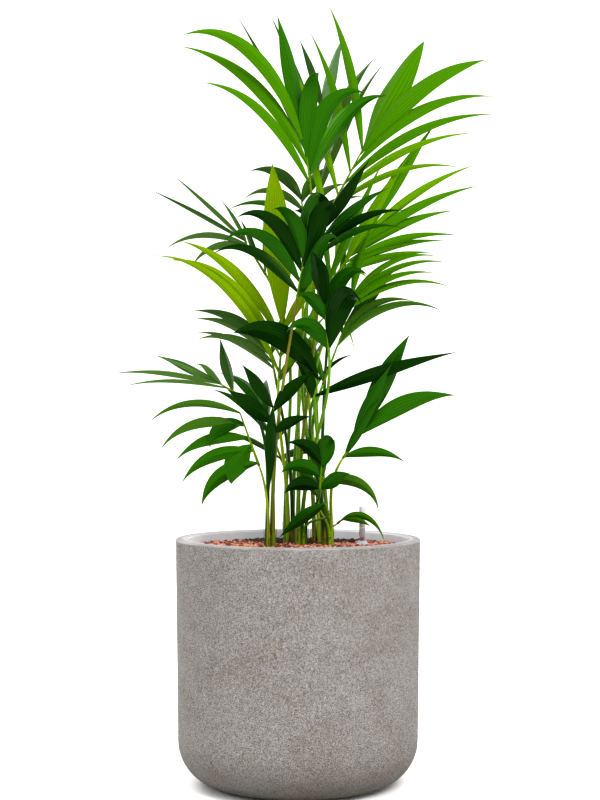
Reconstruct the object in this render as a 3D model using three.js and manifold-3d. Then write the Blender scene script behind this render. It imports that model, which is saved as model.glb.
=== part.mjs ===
// A potted kentia palm: a clump of young palms in a round planter with a soft bottom edge.
//
// Millimetres, +Z up, +Y towards the back. The origin is the middle of the planter's flat underside.
// Each palm is a short stem of leaf sheaths. Leaf stalks rise from the stem's flat top, and each
// stalk carries one frond: a rib with narrow leaflets on both sides. Touching pieces keep GAP clear.
import * as THREE from "three";
import { mergeVertices } from "three/addons/utils/BufferGeometryUtils.js";
import Module from "manifold-3d";

const wasm = await Module();
wasm.setup();

// ---------------------------------------------------------------- driving dimensions
const GAP = 0.3;
const PLANTER = { radius: 215, foot: 211, height: 430, wall: 20, floor: 30, edge: 78, lip: 3 };
const FILL_TOP = 411;
const ROOT_BALL = { x: 0, y: 72, radius: 97, taper: 14, bottom: 230, top: 412 };
const GAUGE = { x: 115, y: 50, tube: 5.5, height: 71, foot: 16, brim: 2, neck: 7.5, rise: 10 };

// Radii of stems, stalks and ribs. A stem's foot flares by its share of the radius, which fades within
// a quarter of its height, and edge is what its flat top leaves outside the ring of stalks.
const STEM = { flare: 0.16, fade: 6, taper: 0.92, edge: 0.4, sides: 10, steps: 5 };
// rise and level are the shares of its height over which a stalk runs straight up and then out.
const STALK = { foot: 4.2, tip: 2.6, rise: 0.42, level: 0.3, spacing: 8.9, sides: 6, steps: 6 };
const RIB = { tip: 1.2, sides: 4, steps: 3 };
// A leaflet's spine is bent in equal steps, and its blade has a section at some of these stations.
// root is its width at the rib, and ridge the height of its raised middle as a share of its width.
const LEAFLET = { bends: 24, stations: [0, 3, 7, 12, 17, 21, 24], root: 3.4, ridge: 0.075, slender: 95 };
// How much leaflets differ by chance: angles in degrees, and shares of length, width and sag.
const VARIES = { splay: 3, rise: 5, twist: 16, length: 0.07, width: 0.08, sag: 0.25 };

// The palms, each by the middle of its stem's foot, the stem's height and how far its top leans.
// turn is the compass angle, in degrees, of the first stalk in the ring on its top.
const PALMS = {
  left: { foot: [-49, 8], height: 20, lean: [0, -1], turn: 60 },
  back_left: { foot: [-14, 112], height: 24, lean: [-2, 1], turn: 36 },
  middle: { foot: [6, 42], height: 19, lean: [0, -2], turn: 12 },
  back_right: { foot: [34, 106], height: 23, lean: [1, 1], turn: 0 },
  right: { foot: [50, 38], height: 17, lean: [2, -1], turn: 12 },
};
const SEEDLING = { foot: [52, 134], fork: [71, 75, 450] };

// What each side of a frond has unless its own lines say otherwise. Angles are in degrees. A pair of
// sizes runs from the fork to the rib's tip, and leaflets come smaller or larger between the two.
//   leaflets  how many grow on that side
//   from, to  how far up the rib the lowest and the highest of them stand, from 0 to 1
//   splay     angle between rib and leaflet
//   length, width  of the leaflets
//   sag       how far a leaflet's tip has bent over, one angle or a pair
//   late      1 bends it evenly along its length, more than 1 bends it nearer the tip
const SIDE = {
  leaflets: 3, from: 0.05, to: 1, splay: [45, 25], length: [150, 150], width: [16, 20], sag: 40, late: 1.4,
};

// The fronds.
//   palm    the stem that the stalk rises from
//   fork    where the stalk ends and the rib begins
//   end     where the rib ends
//   spread  the compass direction of the right-hand leaflets: 0 is +X and 90 is +Y
//   cup     how far the leaflets rise out of the frond's own plane
//   lone    the single leaflet at the rib's tip, where there is one, and its turn from the rib
const FROND = { spread: 0, cup: 6, left: {}, right: {} };

const FRONDS = {
  front_middle: {
    palm: "left", fork: [-2, -85, 844], end: [9, -100, 909], spread: -25, seed: 7,
    lone: { turn: -2, length: 135, width: 35, sag: 140, late: 6 },
    left: { leaflets: 4, from: 0.2, splay: [54, 20], length: [200, 140], width: [17, 32], sag: [100, 140], late: 2.4 },
    right: { leaflets: 2, splay: [16, 10], length: [160, 150], width: [30, 33], sag: 140, late: 6 },
  },
  left_middle: {
    palm: "left", fork: [-108, 0, 684], end: [-138, 0, 702], spread: 32, seed: 15,
    lone: { turn: -11, length: 130, width: 19, sag: 14 },
    left: { leaflets: 2, from: 0.6, splay: [37, 29], length: [205, 215], width: [8, 14], sag: 22 },
    right: { leaflets: 2, from: 0.2, splay: [52, 26], length: [135, 74], width: [25, 15], sag: [8, 130], late: 5 },
  },
  left_low: {
    palm: "left", fork: [-68, -25, 558], end: [-101, -32, 650], spread: -12, seed: 16,
    left: { leaflets: 5, splay: [78, 51], length: [134, 184], width: [26, 13], sag: 70 },
    right: { leaflets: 2, from: 0.4, to: 0.95, splay: [-112, -66], length: [86, 92], width: [38, 24], sag: [45, 95] },
  },
  left_inner: {
    palm: "left", fork: [-44, -30, 610], end: [-43, -34, 660], spread: 30, seed: 17,
    lone: { turn: -172, length: 145, width: 23, sag: 4 },
    left: { leaflets: 2, from: 0.45, splay: [56, 38], length: [124, 110], width: [28, 22], sag: 8 },
    right: { leaflets: 2, splay: [50, 30], length: [80, 100], width: [20, 22], sag: 40 },
  },
  back_upper: {
    palm: "back_left", fork: [12, 128, 999], end: [6, 142, 1043], spread: 0, seed: 6,
    left: { splay: [45, 22], length: [150, 130], width: [12, 20], sag: 95 },
    right: { splay: [55, 25], length: [130, 110], width: [12, 22], sag: 60 },
  },
  back_left_low: {
    palm: "back_left", fork: [-30, 150, 560], end: [-60, 200, 640], spread: 50, seed: 24,
    left: { splay: [60, 14], length: [150, 150], width: [15, 24], sag: 60 },
    right: { splay: [60, 14], length: [150, 150], width: [15, 24], sag: 60 },
  },
  back_left_high: {
    palm: "back_left", fork: [-58, 60, 898], end: [-97, 75, 961], spread: -38, seed: 5,
    lone: { turn: -13, length: 202, width: 9, sag: 4 },
    left: { from: 0.75, splay: [40, 27], length: [138, 250], width: [13, 9], sag: [112, 6] },
    right: { splay: [40, 10], length: [90, 95], width: [12, 10], sag: 20 },
  },
  bright_left: {
    palm: "back_left", fork: [-34, 20, 712], end: [-27, 16, 801], spread: 26, seed: 4,
    lone: { turn: -9, length: 290, width: 50, sag: 8 },
    left: { from: 0.1, to: 0.75, splay: [35, 38], length: [418, 290], width: [18, 28], sag: [56, 58] },
    right: { splay: [34, 20], length: [130, 160], width: [18, 26], sag: 20 },
  },
  left_high: {
    palm: "back_left", fork: [-38, 45, 700], end: [-50, 50, 763], spread: -30, seed: 18,
    left: { leaflets: 4, from: 0.45, splay: [41, 32], length: [180, 165], width: [12, 18], sag: 55 },
    right: { leaflets: 2, splay: [40, 25], length: [80, 90], width: [14, 16], sag: 30 },
  },
  foot_front: {
    palm: "middle", fork: [38, -60, 518], end: [41, -68, 561], spread: -20, seed: 19,
    left: { splay: [70, 30], length: [70, 80], width: [26, 22], sag: 90 },
    right: { leaflets: 2, splay: [50, 6], length: [72, 80], width: [24, 30], sag: [50, 140], late: 4 },
  },
  front_low: {
    palm: "middle", fork: [53, -75, 756], end: [45, -82, 834], spread: -10, seed: 12,
    lone: { turn: 4, length: 150, width: 30, sag: 60, late: 3 },
    left: { leaflets: 2, to: 0.7, splay: [20, 16], length: [105, 75], width: [30, 26], sag: 120, late: 2 },
    right: { leaflets: 2, splay: [16, 26], length: [160, 120], width: [40, 26], sag: 115, late: 2.4 },
  },
  crown_left: {
    palm: "middle", fork: [31, -40, 977], end: [12, -44, 1118], spread: 28, seed: 1,
    lone: { turn: -7, length: 225, width: 30, sag: 6 },
    left: { from: 0.5, to: 0.95, splay: [27, 17], length: [312, 358], width: [22, 28], sag: [52, 82] },
    right: { from: 0.6, to: 0.9, splay: [36, 4], length: [210, 190], width: [30, 34], sag: [70, 125], late: 3 },
  },
  centre_right: {
    palm: "middle", fork: [31, -50, 912], end: [48, -60, 975], spread: -25, seed: 8,
    left: { splay: [36, 22], length: [80, 85], width: [22, 28], sag: 100, late: 2 },
    right: { leaflets: 4, from: 0.2, splay: [44, 22], length: [200, 150], width: [10, 20], sag: [62, 6] },
  },
  foot_fallen: {
    palm: "middle", fork: [52, -45, 479], end: [47, -55, 494], spread: 0, seed: 20,
    left: { leaflets: 2, splay: [125, 110], length: [90, 112], width: [18, 24], sag: 10 },
    right: { leaflets: 0 },
  },
  back_right: {
    palm: "back_right", fork: [60, 130, 840], end: [70, 185, 920], spread: 75, seed: 22,
    left: { leaflets: 4, splay: [60, 14], length: [190, 180], width: [15, 24], sag: 55 },
    right: { leaflets: 4, splay: [60, 14], length: [190, 180], width: [15, 24], sag: 55 },
  },
  crown_back: {
    palm: "back_right", fork: [33, 110, 1029], end: [44, 120, 1203], spread: -32, seed: 3,
    left: { from: 0.3, splay: [24, 16], length: [368, 150], width: [13, 14], sag: 8 },
    right: { splay: [20, 10], length: [300, 160], width: [24, 30], sag: 28 },
  },
  back_low: {
    palm: "back_right", fork: [14, 150, 650], end: [10, 205, 730], spread: 100, seed: 23,
    left: { leaflets: 4, splay: [60, 14], length: [170, 160], width: [15, 24], sag: 60 },
    right: { leaflets: 4, splay: [60, 14], length: [170, 160], width: [15, 24], sag: 60 },
  },
  right_bright: {
    palm: "back_right", fork: [47, -10, 866], end: [112, -6, 954], spread: 32, seed: 9,
    left: { splay: [26, 10], length: [245, 240], width: [16, 24], sag: 5 },
    right: { leaflets: 6, from: 0.3, splay: [30, 8], length: [195, 262], width: [14, 15], sag: 34 },
  },
  crown_right: {
    palm: "back_right", fork: [46, 0, 987], end: [113, 0, 1113], spread: -28, seed: 2,
    lone: { turn: -6, length: 234, width: 54, sag: 8 },
    left: { leaflets: 4, splay: [42, 36], length: [285, 300], width: [14, 20], sag: 22 },
    right: { leaflets: 5, from: 0.2, splay: [38, 9], length: [300, 286], width: [11, 34], sag: 50 },
  },
  right_broad: {
    palm: "right", fork: [78, -45, 572], end: [108, -52, 618], spread: -15, seed: 14,
    left: { from: 0.1, splay: [2, 12], length: [135, 190], width: [16, 31], sag: 12 },
    right: { leaflets: 2, splay: [38, 14], length: [120, 210], width: [16, 31], sag: 48 },
  },
  right_middle: {
    palm: "right", fork: [53, 0, 788], end: [95, 0, 858], spread: -15, seed: 10,
    left: { splay: [36, 20], length: [150, 140], width: [10, 14], sag: 40 },
    right: { leaflets: 4, from: 0.5, splay: [24, 12], length: [225, 190], width: [10, 10], sag: 64 },
  },
  right_low: {
    palm: "right", fork: [44, 30, 700], end: [79, 36, 793], spread: 20, seed: 11,
    lone: { turn: 15, length: 160, width: 21, sag: 5 },
    left: { leaflets: 2, splay: [40, 30], length: [140, 130], width: [14, 16], sag: 60 },
    right: { leaflets: 2, from: 0.75, splay: [18, 8], length: [225, 175], width: [12, 16], sag: 72 },
  },
  right_flat: {
    palm: "right", fork: [26, -30, 672], end: [36, -34, 708], spread: -10, seed: 13,
    left: { leaflets: 2, splay: [20, 44], length: [95, 190], width: [18, 44], sag: 70 },
    right: { leaflets: 1, to: 0.5, splay: [53, 53], length: [266, 266], width: [20, 20], sag: 14 },
  },
  foot_right: {
    palm: "right", fork: [36, -20, 500], end: [44, -24, 540], spread: -15, seed: 21,
    left: { leaflets: 2, splay: [40, 20], length: [80, 85], width: [18, 26], sag: 30 },
    right: { leaflets: 1, splay: [58, 58], length: [142, 142], width: [18, 18], sag: 110 },
  },
  seedling: {
    palm: null, fork: SEEDLING.fork, end: [80, 70, 458], spread: -40, seed: 25,
    left: { leaflets: 1, splay: [-30, -30], length: [78, 78], width: [11, 11], sag: 56, late: 1 },
    right: { leaflets: 1, splay: [10, 10], length: [134, 134], width: [10, 10], sag: 92, late: 1 },
  },
};

const COLOURS = {
  planter: { color: "#a29c94", roughness: 0.9 },
  fill: { color: "#8a5346", roughness: 0.95 },
  root_ball: { color: "#2a2019", roughness: 1 },
  gauge: { color: "#d9dadd", roughness: 0.3 },
  stem: { color: "#6f8a2c", roughness: 0.5 },
  stalk: { color: "#7d9a2a", roughness: 0.45 },
  frond: { color: "#2f6b1c", roughness: 0.4 },
};

// ---------------------------------------------------------------- solids
const vector = ([x, y, z]) => new THREE.Vector3(x, y, z);
const mix = (a, b, t) => a + (b - a) * t;
const radians = THREE.MathUtils.degToRad;

// A repeatable number from -1 to 1 for the n-th choice made with a seed.
function chance(seed, n) {
  const wave = Math.sin(seed * 12.9898 + n * 78.233) * 43758.5453;
  return 2 * (wave - Math.floor(wave)) - 1;
}

function solidOf(geometry) {
  const bare = geometry.clone();
  bare.deleteAttribute("normal");
  bare.deleteAttribute("uv");
  const merged = mergeVertices(bare, 1e-4);
  const vertProperties = merged.attributes.position.array;
  const triVerts = new Uint32Array(merged.index.array);
  return new wasm.Manifold(new wasm.Mesh({ numProp: 3, vertProperties, triVerts }));
}

function geometryOf(solid) {
  const { vertProperties, triVerts } = solid.getMesh();
  const geometry = new THREE.BufferGeometry();
  geometry.setAttribute("position", new THREE.BufferAttribute(vertProperties, 3));
  geometry.setIndex(new THREE.BufferAttribute(triVerts, 1));
  geometry.computeVertexNormals();
  return geometry;
}

// A cylinder bent to a new shape: place(t, a, b) gives the point at height t, 0 to 1, of the
// point (a, b) of its unit section. It ends in a point where pointed is set.
function bentCylinder(sides, steps, pointed, place) {
  const geometry = new THREE.CylinderGeometry(pointed ? 0 : 1, 1, 1, sides, steps);
  const corners = geometry.attributes.position;
  for (let i = 0; i < corners.count; i++) {
    const t = corners.getY(i) + 0.5;
    const shrink = pointed ? Math.max(1 - t, 1e-9) : 1;
    const point = place(t, corners.getX(i) / shrink, corners.getZ(i) / shrink);
    corners.setXYZ(i, point.x, point.y, point.z);
  }
  return geometry;
}

// A round limb along a curve. across is a direction that the limb never runs along.
function limb(curve, radiusAt, across, sides, steps) {
  return bentCylinder(sides, steps, false, (t, a, b) => {
    const along = curve.getTangent(t);
    const normal = new THREE.Vector3().crossVectors(across, along).normalize();
    const side = new THREE.Vector3().crossVectors(along, normal);
    const radius = radiusAt(t);
    return curve.getPoint(t).addScaledVector(side, a * radius).addScaledVector(normal, b * radius);
  });
}

// ---------------------------------------------------------------- planter, filling and gauge
// Points of a quarter round from one angle to another, in the lathe's (radius, height) plane.
function quarter(cx, cy, radius, from, to, steps) {
  return Array.from({ length: steps + 1 }, (_, i) => {
    const angle = radians(mix(from, to, i / steps));
    return new THREE.Vector2(cx + radius * Math.cos(angle), cy + radius * Math.sin(angle));
  });
}

function turned(profile, segments) {
  const points = profile.map(([r, z]) => new THREE.Vector2(r, z));
  return new THREE.LatheGeometry(points, segments).rotateX(Math.PI / 2);
}

function planterGeometry() {
  const { radius, foot, height, wall, floor, edge, lip } = PLANTER;
  const inside = radius - wall;
  const bottomEdge = quarter(foot - edge, edge, edge, -90, 0, 6);
  const innerEdge = quarter(inside - edge / 2, floor + edge / 2, edge / 2, 0, -90, 3);
  const profile = [
    [0, 0],
    ...bottomEdge.map((p) => p.toArray()),
    [radius, height - lip],
    [radius - lip, height],
    [inside + lip, height],
    [inside, height - lip],
    ...innerEdge.map((p) => p.toArray()),
    [0, floor],
  ];
  return turned(profile, 40);
}

function rootBallGeometry(grow) {
  const { x, y, radius, taper, bottom, top } = ROOT_BALL;
  const tall = top - bottom + 2 * grow;
  const ball = new THREE.CylinderGeometry(radius + grow, radius - taper + grow, tall, 32);
  return ball.rotateX(Math.PI / 2).translate(x, y, (top + bottom) / 2);
}

function fillSolid() {
  const { radius, wall, floor, edge } = PLANTER;
  const inside = radius - wall - GAP;
  const innerEdge = quarter(inside - edge / 2, floor + GAP + edge / 2, edge / 2, -90, 0, 3);
  const profile = [
    [0, floor + GAP],
    ...innerEdge.map((p) => p.toArray()),
    [inside, FILL_TOP],
    [0, FILL_TOP],
  ];
  return solidOf(turned(profile, 40)).subtract(solidOf(rootBallGeometry(GAP)));
}

function gaugeTubeGeometry() {
  const { x, y, tube, height } = GAUGE;
  const standing = new THREE.CylinderGeometry(tube, tube, height, 16).rotateX(Math.PI / 2);
  return standing.translate(x, y, FILL_TOP + GAP + height / 2);
}

function gaugeFootGeometry() {
  const { x, y, tube, foot, brim, neck, rise } = GAUGE;
  const bore = tube + GAP;
  const profile = [
    [bore, 0],
    [foot, 0],
    [foot, brim],
    [neck, rise],
    [bore, rise],
    [bore, 0],
  ];
  return turned(profile, 16).translate(x, y, FILL_TOP + GAP);
}

// ---------------------------------------------------------------- stems and stalks
const UP = new THREE.Vector3(0, 0, 1);
const BACK = new THREE.Vector3(0, 1, 0);

// The stalks of one palm stand in a ring on its stem, in the order of their fronds above.
function stalkFeet(palm) {
  const { foot, height, lean, turn } = PALMS[palm];
  const top = new THREE.Vector3(foot[0] + lean[0], foot[1] + lean[1], ROOT_BALL.top + GAP + height);
  const own = Object.keys(FRONDS).filter((name) => FRONDS[name].palm === palm);
  const ring = STALK.spacing / 2 / Math.sin(Math.PI / own.length);
  const feet = {};
  own.forEach((name, i) => {
    const angle = radians(turn) + (2 * Math.PI * i) / own.length;
    feet[name] = new THREE.Vector3(ring * Math.cos(angle), ring * Math.sin(angle), GAP).add(top);
  });
  return { top, ring, feet };
}

function stemGeometry(palm) {
  const { top, ring } = stalkFeet(palm);
  const [x, y] = PALMS[palm].foot;
  const foot = new THREE.Vector3(x, y, ROOT_BALL.top + GAP);
  const wide = ring + STALK.foot + STEM.edge;
  const radiusAt = (t) => wide * mix(1, STEM.taper, t) * (1 + STEM.flare * Math.exp(-STEM.fade * t));
  return bentCylinder(STEM.sides, STEM.steps, false, (t, a, b) => {
    const radius = radiusAt(t);
    const centre = foot.clone().lerp(top, t);
    return centre.add(new THREE.Vector3(a * radius, -b * radius, 0));
  });
}

function ribDirection({ fork, end }) {
  return vector(end).sub(vector(fork)).normalize();
}

// A stalk rises straight from its stem and runs out along the rib. bow carries its middle that far to
// one side, past a neighbour in its way.
class StalkCurve extends THREE.CubicBezierCurve3 {
  constructor(frond, foot, bow) {
    const fork = vector(frond.fork);
    const reach = fork.distanceTo(foot);
    const rise = foot.clone().addScaledVector(UP, STALK.rise * reach);
    super(foot, rise, fork.clone().addScaledVector(ribDirection(frond), -STALK.level * reach), fork);
    this.aside = new THREE.Vector3().crossVectors(fork.clone().sub(foot), BACK).normalize();
    this.bow = bow;
  }

  getPoint(t, target) {
    const share = 16 * t * t * (1 - t) * (1 - t);
    return super.getPoint(t, target).addScaledVector(this.aside, this.bow * share);
  }
}

function stalkSolid(frond, foot, bow, grow) {
  const radiusAt = (t) => mix(STALK.foot, STALK.tip, t) + grow;
  return solidOf(limb(new StalkCurve(frond, foot, bow), radiusAt, BACK, STALK.sides, STALK.steps));
}

// ---------------------------------------------------------------- fronds
// The rib's own directions: along it, to its right-hand leaflets, and out of the frond's upper face.
function ribFrame(frond) {
  const along = ribDirection(frond);
  const compass = radians(frond.spread);
  const right = new THREE.Vector3(Math.cos(compass), Math.sin(compass), 0);
  right.addScaledVector(along, -right.dot(along)).normalize();
  return { along, right, face: new THREE.Vector3().crossVectors(right, along) };
}

function ribSolid(frond) {
  const { along, right } = ribFrame(frond);
  const start = vector(frond.fork).addScaledVector(along, GAP);
  const curve = new THREE.LineCurve3(start, vector(frond.end));
  return solidOf(limb(curve, (t) => mix(STALK.tip, RIB.tip, t), right, RIB.sides, RIB.steps));
}

// The leaflets of one side, from the rib's tip down, each with its place on the rib (0 to 1), its
// angle to the rib, and its own sizes. side is -1 on the left and 1 on the right.
function sidePlan(frond, side) {
  const own = { ...SIDE, ...(side < 0 ? frond.left : frond.right) };
  return Array.from({ length: own.leaflets }, (_, i) => {
    const n = 10 * i + side;
    const down = own.leaflets > 1 ? i / (own.leaflets - 1) : 0;
    const between = (sizes) => (sizes.length ? mix(sizes[1], sizes[0], down) : sizes);
    const stagger = side > 0 ? 0.3 / own.leaflets : 0;
    return {
      n,
      place: Math.max(mix(own.to, own.from, down) - stagger, own.from),
      angle: side * (between(own.splay) + VARIES.splay * chance(frond.seed, n)),
      length: between(own.length) * (1 + VARIES.length * chance(frond.seed + 50, n)),
      width: between(own.width) * (1 + VARIES.width * chance(frond.seed + 90, n)),
      sag: between(own.sag) * (1 + VARIES.sag * chance(frond.seed + 30, n)),
      late: own.late,
    };
  });
}

function leafletPlan(frond) {
  const plan = [...sidePlan(frond, -1), ...sidePlan(frond, 1)];
  if (frond.lone) plan.unshift({ n: 0, place: 1, late: SIDE.late, ...frond.lone, angle: frond.lone.turn });
  return plan;
}

// How wide a leaflet is at t of its length, as a share of its width. Broad leaflets are blunt and
// narrow ones run out into a long tip.
function outline(t, width) {
  const rise = 1.15;
  const fall = THREE.MathUtils.clamp(2 - width / 40, 0.95, 1.6);
  const widest = rise / (rise + fall);
  return (t / widest) ** rise * ((1 - t) / (1 - widest)) ** fall;
}

// The middle line of a leaflet: points, and at each the directions along and across the blade and
// out of its upper face. lift turns the whole leaflet further out of the frond's plane.
function leafletSpine(frond, leaflet, lift) {
  const { along, right, face } = ribFrame(frond);
  const turn = radians(leaflet.angle);
  const rise = radians(frond.cup + VARIES.rise * chance(frond.seed + 20, leaflet.n) + lift);
  const aim = along.clone().multiplyScalar(Math.cos(turn)).addScaledVector(right, Math.sin(turn));
  const start = aim.clone().multiplyScalar(Math.cos(rise)).addScaledVector(face, Math.sin(rise));
  // It sags down and a little outwards, square to the way that it sets out.
  const outward = new THREE.Vector3(start.x * 0.6, start.y * 0.6, -1);
  const down = outward.addScaledVector(start, -outward.dot(start)).normalize();
  const sag = radians(leaflet.sag);
  const twist = radians(VARIES.twist * chance(frond.seed + 70, leaflet.n));
  const point = vector(frond.fork).lerp(vector(frond.end), leaflet.place);
  const across = new THREE.Vector3().crossVectors(start, face).normalize();
  across.applyAxisAngle(start, twist);
  const hinge = new THREE.Vector3().crossVectors(start, down).normalize();
  const spine = [];
  for (let i = 0; i <= LEAFLET.bends; i++) {
    const bend = sag * (i / LEAFLET.bends) ** leaflet.late;
    const heading = start.clone().applyAxisAngle(hinge, bend);
    const side = across.clone().applyAxisAngle(hinge, bend);
    const upper = new THREE.Vector3().crossVectors(side, heading);
    spine.push({ point: point.clone(), heading, side, upper });
    point.addScaledVector(heading, leaflet.length / LEAFLET.bends);
  }
  return spine;
}

// A leaflet as a thin three-sided blade with a raised middle. grow makes it that much thicker and
// wider all round, for the test that it stays clear of its neighbours.
function leafletSolid(frond, leaflet, lift, grow) {
  const spine = leafletSpine(frond, leaflet, lift);
  const steps = LEAFLET.stations.length - 1;
  const ridge = Math.max(leaflet.length / LEAFLET.slender, leaflet.width * LEAFLET.ridge);
  return solidOf(
    bentCylinder(3, steps, true, (t, a, b) => {
      const station = LEAFLET.stations[Math.round(t * steps)];
      const { point, side, upper } = spine[station];
      const share = station / LEAFLET.bends;
      const width = LEAFLET.root * (1 - share) + leaflet.width * outline(share, leaflet.width) + 2 * grow;
      const thick = ridge * (1 - 0.5 * share * share) + 2 * grow;
      const tip = t > 0.999 ? 0 : 1;
      const across = ((a / Math.sin(radians(120))) * width * tip) / 2;
      const above = (((b + 0.5) / 1.5 - 0.5) * thick) * tip;
      return point.clone().addScaledVector(side, across).addScaledVector(upper, above);
    }),
  );
}

// How far a stalk or a leaflet may turn aside from a neighbour, in the order that they are tried.
const BOWS = [0, 8, -8, 16, -16, 26, -26, 38, -38, 52, -52];
const LIFTS = [0, 7, -7, 14, -14, 22, -22, 32, -32, 44, -44];

function boxesMeet(a, b) {
  return [0, 1, 2].every((k) => a.min[k] < b.max[k] && b.min[k] < a.max[k]);
}

function isClear(solid, others) {
  const box = solid.boundingBox();
  return others.every((other) => !boxesMeet(box, other.box) || solid.intersect(other.solid).isEmpty());
}

// ---------------------------------------------------------------- the assembly
const plant = new THREE.Group();
plant.name = "kentia_palm";
const standing = [];

function addSolid(name, look, solid) {
  const mesh = new THREE.Mesh(geometryOf(solid), new THREE.MeshStandardMaterial(COLOURS[look]));
  mesh.name = name;
  plant.add(mesh);
  standing.push({ name, solid, box: solid.boundingBox() });
}

addSolid("planter", "planter", solidOf(planterGeometry()));
addSolid("clay_granules", "fill", fillSolid());
addSolid("root_ball", "root_ball", solidOf(rootBallGeometry(0)));
addSolid("gauge_tube", "gauge", solidOf(gaugeTubeGeometry()));
addSolid("gauge_foot", "gauge", solidOf(gaugeFootGeometry()));

for (const palm of Object.keys(PALMS)) addSolid(`stem_${palm}`, "stem", solidOf(stemGeometry(palm)));

const fronds = Object.entries(FRONDS).map(([name, own]) => ({ name, ...FROND, ...own }));
const feet = Object.assign({}, ...Object.keys(PALMS).map((palm) => stalkFeet(palm).feet));
feet.seedling = new THREE.Vector3(...SEEDLING.foot, ROOT_BALL.top + GAP);

// Every rib stands before the first stalk or leaflet, so that nothing grows through one.
const ribs = fronds.map((frond) => {
  const solid = ribSolid(frond);
  return { frond, solid, box: solid.boundingBox() };
});

for (const frond of fronds) {
  const foot = feet[frond.name];
  const others = [...standing, ...ribs.filter((rib) => rib.frond !== frond)];
  const bow = BOWS.find((aside) => isClear(stalkSolid(frond, foot, aside, GAP), others));
  if (bow === undefined) throw new Error(`no way past its neighbours for the stalk of ${frond.name}`);
  addSolid(`stalk_${frond.name}`, "stalk", stalkSolid(frond, foot, bow, 0));
}

// A leaflet that finds no room at any lift is left out.
const grown = [];
for (const rib of ribs) {
  const { frond } = rib;
  const others = [...standing, ...ribs.filter((other) => other !== rib), ...grown];
  const blades = [];
  for (const leaflet of leafletPlan(frond)) {
    const lift = LIFTS.find((angle) => isClear(leafletSolid(frond, leaflet, angle, GAP), others));
    if (lift !== undefined) blades.push(leafletSolid(frond, leaflet, lift, 0));
  }
  const whole = blades.reduce((sum, blade) => sum.add(blade), rib.solid);
  grown.push({ solid: whole, box: whole.boundingBox() });
  addSolid(`frond_${frond.name}`, "frond", whole);
}

export default plant;
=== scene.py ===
# %% [markdown]
# # A potted kentia palm
#
# Five young kentia palms and a seedling stand in one round planter. The plan is simple: load the
# solid model, which fixes every size and place, and give each of its parts a finer shape and a
# finish. Sizes are in metres, +Z is up, and the front of the plant faces -Y. The rule that grows
# the leaves works in millimetres, as a grower would, and its points are turned into metres last.

# %% Load the solid model
import math

import bmesh
import bpy
from mathutils import Matrix, Quaternion, Vector, kdtree, noise


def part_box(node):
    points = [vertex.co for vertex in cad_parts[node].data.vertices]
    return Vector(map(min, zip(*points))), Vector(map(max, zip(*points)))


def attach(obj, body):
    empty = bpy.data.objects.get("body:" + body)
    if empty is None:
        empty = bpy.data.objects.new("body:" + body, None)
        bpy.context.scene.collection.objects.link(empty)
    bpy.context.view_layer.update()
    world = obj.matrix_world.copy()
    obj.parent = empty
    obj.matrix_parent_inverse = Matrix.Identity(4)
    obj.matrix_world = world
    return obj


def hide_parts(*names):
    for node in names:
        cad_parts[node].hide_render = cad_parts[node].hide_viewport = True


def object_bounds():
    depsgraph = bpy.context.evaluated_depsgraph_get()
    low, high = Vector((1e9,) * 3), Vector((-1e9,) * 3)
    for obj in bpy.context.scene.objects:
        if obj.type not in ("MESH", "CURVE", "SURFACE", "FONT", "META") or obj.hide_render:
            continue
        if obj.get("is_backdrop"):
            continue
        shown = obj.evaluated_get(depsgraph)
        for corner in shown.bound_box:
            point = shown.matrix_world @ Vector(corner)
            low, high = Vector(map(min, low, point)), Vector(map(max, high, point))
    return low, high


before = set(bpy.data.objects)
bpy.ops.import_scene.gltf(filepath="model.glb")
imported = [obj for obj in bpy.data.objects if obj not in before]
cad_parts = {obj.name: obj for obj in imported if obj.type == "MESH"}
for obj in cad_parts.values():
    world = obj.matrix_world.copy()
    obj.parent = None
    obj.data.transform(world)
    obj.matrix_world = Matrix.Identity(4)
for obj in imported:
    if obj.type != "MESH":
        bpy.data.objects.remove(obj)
solid_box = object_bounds()
MM = 0.001
corners = [tuple(round(v, 3) for v in corner) for corner in solid_box]
print(f"{len(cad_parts)} solids in a box of {corners}")

# %% [markdown]
# ## Helpers for shapes
#
# A leaf, a stalk and a stem are all the same thing at heart: a flat grid of faces that is bent into
# place. `bent_grid` makes the grid with Blender's own grid operator and then asks a function where
# each corner goes. Corners that come to lie on each other are merged, and then the faces' normals
# are brought up to date, because a blade's thickness is laid along them. A tube is such a grid whose
# two long edges are merged and whose open ends are filled. Writing faces by hand would give the same
# mesh with far more to go wrong.

# %% Bend a grid, close a tube, keep a piece
def bent_grid(shape, columns, rows, place, finish_of=None, merge=0):
    """Adds a grid. place(column, row) is where a corner goes, finish_of(column, row) a face's slot."""
    made = bmesh.ops.create_grid(shape, x_segments=columns, y_segments=rows, size=1, calc_uvs=True)
    corners = made["verts"]
    faces = list(dict.fromkeys(face for corner in corners for face in corner.link_faces))
    for face in faces:
        middle = face.calc_center_median()
        face.smooth = True
        if finish_of:
            column, row = int((middle.x + 1) / 2 * columns), int((middle.y + 1) / 2 * rows)
            face.material_index = finish_of(column, row)
    for corner in corners:
        column, row = round((corner.co.x + 1) / 2 * columns), round((corner.co.y + 1) / 2 * rows)
        corner.co = place(column, row)
    if merge:
        bmesh.ops.remove_doubles(shape, verts=corners, dist=merge)
        faces = [face for face in faces if face.is_valid]
    shape.normal_update()
    return faces


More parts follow.
